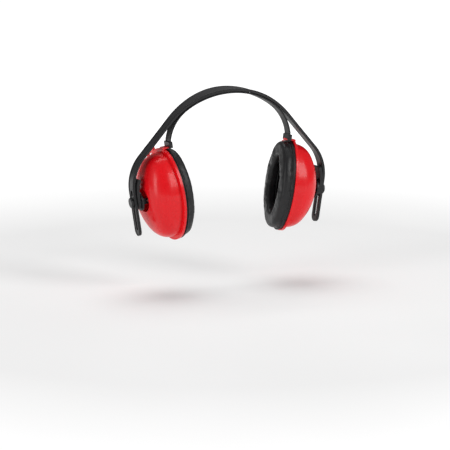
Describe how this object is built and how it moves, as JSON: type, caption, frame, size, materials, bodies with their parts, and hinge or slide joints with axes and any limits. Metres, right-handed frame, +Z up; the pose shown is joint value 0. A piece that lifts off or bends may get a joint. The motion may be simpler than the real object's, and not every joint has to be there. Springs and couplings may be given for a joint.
{
  "type": "hearing protection earmuffs",
  "caption": "Over-the-head hearing protectors with oval domed ear cups, soft cushions, a slotted spring headband and a crown strap; the cups slide, swivel and tilt.",
  "frame": {"origin": "where the underside of the crown strap rests on the top of the head, midway between the cups", "axes": "+X toward the wearer's left ear, +Y toward the back of the head, +Z up"},
  "size_m": [0.2434, 0.0783, 0.1716],
  "materials": {
    "band_black": "satin",
    "strap_black": "satin",
    "cup_red": "gloss",
    "plate_black": "satin",
    "cushion_vinyl": "satin",
    "foam_grey": "matte",
    "steel": "brushed"
  },
  "bodies": {
    "band": {"headband": "band_black", "crown_strap": "strap_black", "strap_tail_left": "strap_black", "strap_tail_right": "strap_black"},
    "carriage_left": {"slide_bracket_left": "band_black", "pivot_button_left": "band_black", "spring_washer_left": "steel", "retaining_ring_left": "steel"},
    "swivel_left": {"swivel_yoke_left": "band_black", "tilt_pin_left": "steel"},
    "cup_left": {"cup_shell_left": "cup_red", "absorber_foam_left": "foam_grey", "cushion_plate_left": "plate_black", "cushion_foam_left": "foam_grey", "cushion_skin_left": "cushion_vinyl", "strap_hook_left": "band_black"},
    "carriage_right": {"slide_bracket_right": "band_black", "pivot_button_right": "band_black", "spring_washer_right": "steel", "retaining_ring_right": "steel"},
    "swivel_right": {"swivel_yoke_right": "band_black", "tilt_pin_right": "steel"},
    "cup_right": {"cup_shell_right": "cup_red", "absorber_foam_right": "foam_grey", "cushion_plate_right": "plate_black", "cushion_foam_right": "foam_grey", "cushion_skin_right": "cushion_vinyl", "strap_hook_right": "band_black"}
  },
  "joints": [
    {"name": "cup_height_left", "type": "slide", "parent": "band", "child": "carriage_left", "axis": [-0.1478, 0, -0.989], "range_m": [-0.003, 0.026], "deforming": ["strap_tail_left"]},
    {"name": "cup_swivel_left", "type": "hinge", "parent": "carriage_left", "child": "swivel_left", "pos_m": [0.1104, 0, -0.11828], "axis": [0.989, 0, -0.1478], "range_deg": [-15, 15]},
    {"name": "cup_tilt_left", "type": "hinge", "parent": "swivel_left", "child": "cup_left", "pos_m": [0.10229, 0, -0.11706], "axis": [0, 1, 0], "range_deg": [-8, 3]},
    {"name": "cup_height_right", "type": "slide", "parent": "band", "child": "carriage_right", "axis": [0.1478, 0, -0.989], "range_m": [-0.003, 0.026], "deforming": ["strap_tail_right"]},
    {"name": "cup_swivel_right", "type": "hinge", "parent": "carriage_right", "child": "swivel_right", "pos_m": [-0.1104, 0, -0.11828], "axis": [-0.989, 0, -0.1478], "range_deg": [-15, 15]},
    {"name": "cup_tilt_right", "type": "hinge", "parent": "swivel_right", "child": "cup_right", "pos_m": [-0.10229, 0, -0.11706], "axis": [0, -1, 0], "range_deg": [-8, 3]}
  ]
}
